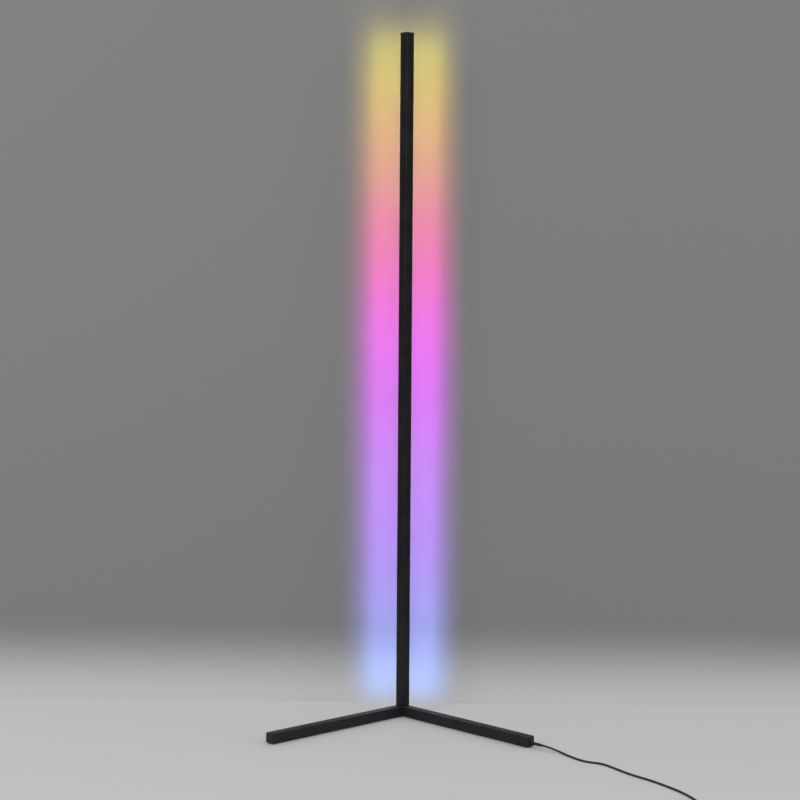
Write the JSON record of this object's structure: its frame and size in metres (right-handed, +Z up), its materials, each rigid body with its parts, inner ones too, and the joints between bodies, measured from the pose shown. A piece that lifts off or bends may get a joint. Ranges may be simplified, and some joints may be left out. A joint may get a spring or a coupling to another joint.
{
  "type": "corner floor lamp",
  "caption": "Slim corner floor lamp: a square pole with a rear light window, carried by an L of two low legs, with a cord, in-line controller and plug.",
  "frame": {"origin": "on the floor, under the pole's axis, where the two legs meet", "axes": "+Z up along the pole; +Y from the pole into the corner of the room, which the light faces; the legs run to -X-Y and +X-Y"},
  "size_m": [0.7918, 0.7667, 1.426],
  "materials": {
    "black_steel": "satin black powder coat",
    "black_aluminium": "satin black anodised",
    "bare_aluminium": "sawn",
    "black_plastic": "fine moulded texture",
    "screw_steel": "plated",
    "pad_rubber": "matt",
    "diffuser_silicone": "milky, lit from behind",
    "strip_film": "white solder mask",
    "led_resin": "clear lens in a white frame",
    "cord_vinyl": "satin vinyl",
    "case_plastic": "fine spark texture",
    "board_resin": "solder mask",
    "chip_resin": "moulded",
    "button_rubber": "soft matt",
    "plug_vinyl": "satin vinyl",
    "plug_steel": "nickel plated",
    "tongue_plastic": "moulded",
    "contact_brass": "gold flash"
  },
  "bodies": {
    "lamp": {"corner_block": "black_steel", "left_leg": "black_steel", "right_leg": "black_steel", "left_leg_cap": "black_plastic", "right_leg_cap": "black_plastic", "leg_screws": "screw_steel", "foot_pads": "pad_rubber", "pole_section_1": "black_aluminium", "pole_section_2": "black_aluminium", "pole_section_3": "black_aluminium", "pole_section_4": "black_aluminium", "pole_joiners": "bare_aluminium", "pole_screws": "screw_steel", "top_cap": "black_plastic", "diffuser": "diffuser_silicone", "light_strip": "strip_film", "led_packages": "led_resin", "strain_relief": "cord_vinyl", "inner_lead": "cord_vinyl", "lamp_cord": "cord_vinyl", "controller_base": "case_plastic", "controller_lid": "case_plastic", "controller_board": "board_resin", "controller_chip": "chip_resin", "controller_switches": "screw_steel", "controller_reliefs": "cord_vinyl", "cord_coil": "cord_vinyl", "coil_tie": "cord_vinyl", "plug_body": "plug_vinyl", "plug_shell": "plug_steel", "plug_tongue": "tongue_plastic", "plug_contacts": "contact_brass"},
    "power_key": {"power_button": "button_rubber"},
    "colour_key": {"colour_button": "button_rubber"},
    "brightness_key": {"brightness_button": "button_rubber"}
  },
  "joints": [
    {"name": "power_press", "type": "slide", "parent": "lamp", "child": "power_key", "axis": [0, 0, -1], "range_m": [0, 0.0006], "stiffness_N_per_m": 500, "springref_m": -0.002},
    {"name": "colour_press", "type": "slide", "parent": "lamp", "child": "colour_key", "axis": [0, 0, -1], "range_m": [0, 0.0006], "stiffness_N_per_m": 500, "springref_m": -0.002},
    {"name": "brightness_press", "type": "slide", "parent": "lamp", "child": "brightness_key", "axis": [0, 0, -1], "range_m": [0, 0.0006], "stiffness_N_per_m": 500, "springref_m": -0.002}
  ]
}
